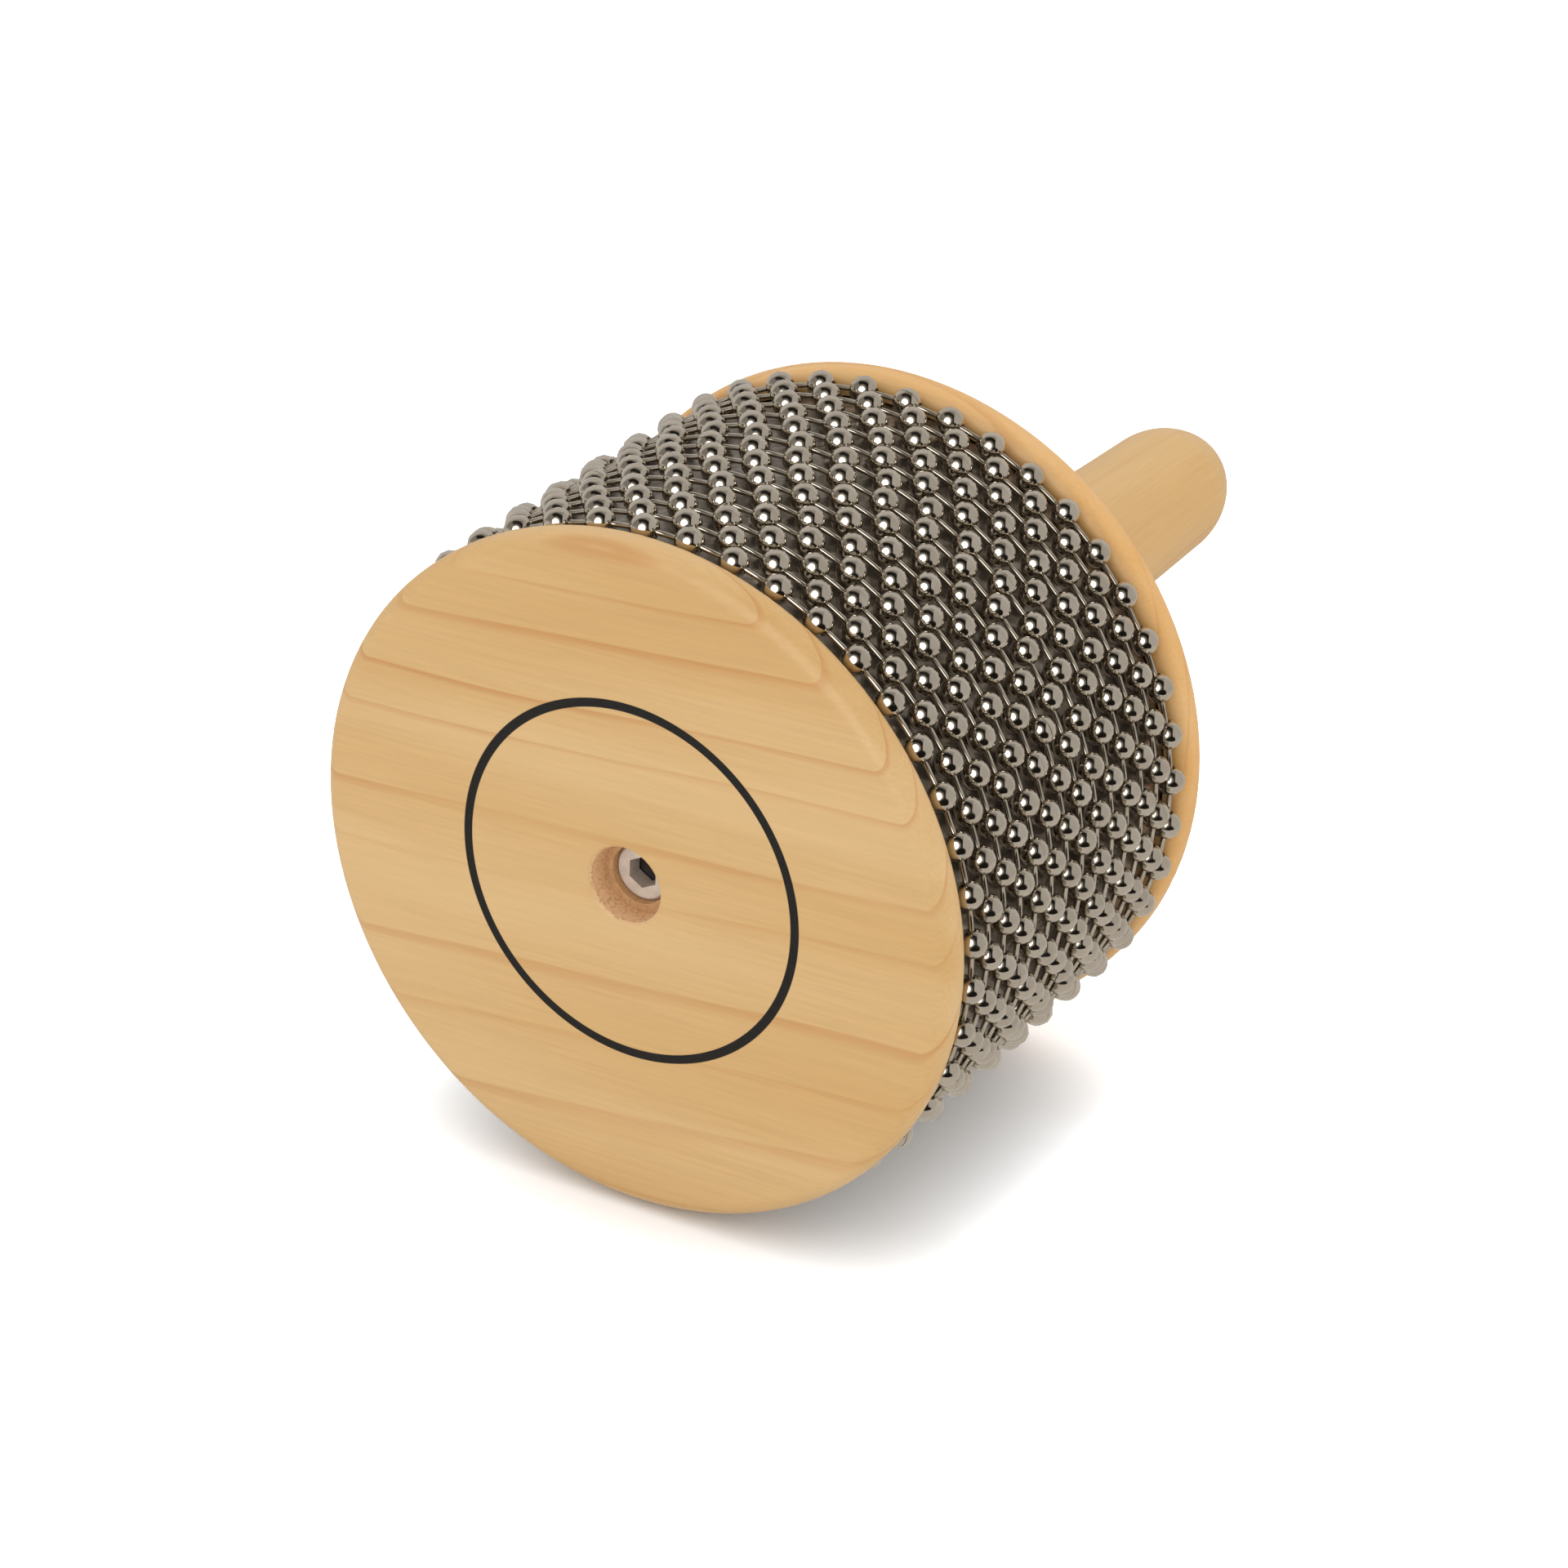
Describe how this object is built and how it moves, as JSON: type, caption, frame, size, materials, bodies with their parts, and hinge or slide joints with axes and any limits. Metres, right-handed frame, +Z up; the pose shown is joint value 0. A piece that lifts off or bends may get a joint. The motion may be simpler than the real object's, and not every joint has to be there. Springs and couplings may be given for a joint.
{
  "type": "cabasa",
  "caption": "Handheld cabasa: wooden drum between two discs, wrapped in turning loops of bead chain, on a turned wooden handle.",
  "frame": {"origin": "on the floor below the middle of the whole object, which lies on its beads", "axes": "+Y along the drum's axis from the front disc to the end of the handle, +Z up"},
  "size_m": [0.116, 0.1882, 0.116],
  "materials": {
    "lacquered_wood": "satin lacquer",
    "handle_wood": "satin lacquer",
    "raw_wood": "turned, bare",
    "stainless_steel": "embossed",
    "nickel_plate": "polished",
    "nickel_wire": "polished",
    "zinc_steel": "zinc plated",
    "brass": "turned"
  },
  "bodies": {
    "drum": {"front_disc": "lacquered_wood", "rear_disc": "lacquered_wood", "drum_core": "raw_wood", "textured_sleeve": "stainless_steel", "handle": "handle_wood", "through_bolt": "zinc_steel", "lock_washer": "zinc_steel", "threaded_insert": "brass"},
    "loop_01": {"bead_row_01": "nickel_plate", "link_row_01": "nickel_wire"},
    "loop_02": {"bead_row_02": "nickel_plate", "link_row_02": "nickel_wire"},
    "loop_03": {"bead_row_03": "nickel_plate", "link_row_03": "nickel_wire"},
    "loop_04": {"bead_row_04": "nickel_plate", "link_row_04": "nickel_wire"},
    "loop_05": {"bead_row_05": "nickel_plate", "link_row_05": "nickel_wire"},
    "loop_06": {"bead_row_06": "nickel_plate", "link_row_06": "nickel_wire"},
    "loop_07": {"bead_row_07": "nickel_plate", "link_row_07": "nickel_wire"},
    "loop_08": {"bead_row_08": "nickel_plate", "link_row_08": "nickel_wire"},
    "loop_09": {"bead_row_09": "nickel_plate", "link_row_09": "nickel_wire"},
    "loop_10": {"bead_row_10": "nickel_plate", "link_row_10": "nickel_wire"},
    "loop_11": {"bead_row_11": "nickel_plate", "link_row_11": "nickel_wire"},
    "loop_12": {"bead_row_12": "nickel_plate", "link_row_12": "nickel_wire"},
    "loop_13": {"bead_row_13": "nickel_plate", "link_row_13": "nickel_wire"},
    "loop_14": {"bead_row_14": "nickel_plate", "link_row_14": "nickel_wire"}
  },
  "joints": [
    {"name": "loop_01_turn", "type": "hinge", "parent": "drum", "child": "loop_01", "pos_m": [0, -0.08446, 0.058], "axis": [0, 1, 0], "continuous": true},
    {"name": "loop_02_turn", "type": "hinge", "parent": "drum", "child": "loop_02", "pos_m": [0, -0.07962, 0.058], "axis": [0, 1, 0], "continuous": true},
    {"name": "loop_03_turn", "type": "hinge", "parent": "drum", "child": "loop_03", "pos_m": [0, -0.07478, 0.058], "axis": [0, 1, 0], "continuous": true},
    {"name": "loop_04_turn", "type": "hinge", "parent": "drum", "child": "loop_04", "pos_m": [0, -0.06994, 0.058], "axis": [0, 1, 0], "continuous": true},
    {"name": "loop_05_turn", "type": "hinge", "parent": "drum", "child": "loop_05", "pos_m": [0, -0.0651, 0.058], "axis": [0, 1, 0], "continuous": true},
    {"name": "loop_06_turn", "type": "hinge", "parent": "drum", "child": "loop_06", "pos_m": [0, -0.06026, 0.058], "axis": [0, 1, 0], "continuous": true},
    {"name": "loop_07_turn", "type": "hinge", "parent": "drum", "child": "loop_07", "pos_m": [0, -0.05542, 0.058], "axis": [0, 1, 0], "continuous": true},
    {"name": "loop_08_turn", "type": "hinge", "parent": "drum", "child": "loop_08", "pos_m": [0, -0.05058, 0.058], "axis": [0, 1, 0], "continuous": true},
    {"name": "loop_09_turn", "type": "hinge", "parent": "drum", "child": "loop_09", "pos_m": [0, -0.04574, 0.058], "axis": [0, 1, 0], "continuous": true},
    {"name": "loop_10_turn", "type": "hinge", "parent": "drum", "child": "loop_10", "pos_m": [0, -0.0409, 0.058], "axis": [0, 1, 0], "continuous": true},
    {"name": "loop_11_turn", "type": "hinge", "parent": "drum", "child": "loop_11", "pos_m": [0, -0.03606, 0.058], "axis": [0, 1, 0], "continuous": true},
    {"name": "loop_12_turn", "type": "hinge", "parent": "drum", "child": "loop_12", "pos_m": [0, -0.03122, 0.058], "axis": [0, 1, 0], "continuous": true},
    {"name": "loop_13_turn", "type": "hinge", "parent": "drum", "child": "loop_13", "pos_m": [0, -0.02638, 0.058], "axis": [0, 1, 0], "continuous": true},
    {"name": "loop_14_turn", "type": "hinge", "parent": "drum", "child": "loop_14", "pos_m": [0, -0.02154, 0.058], "axis": [0, 1, 0], "continuous": true}
  ]
}
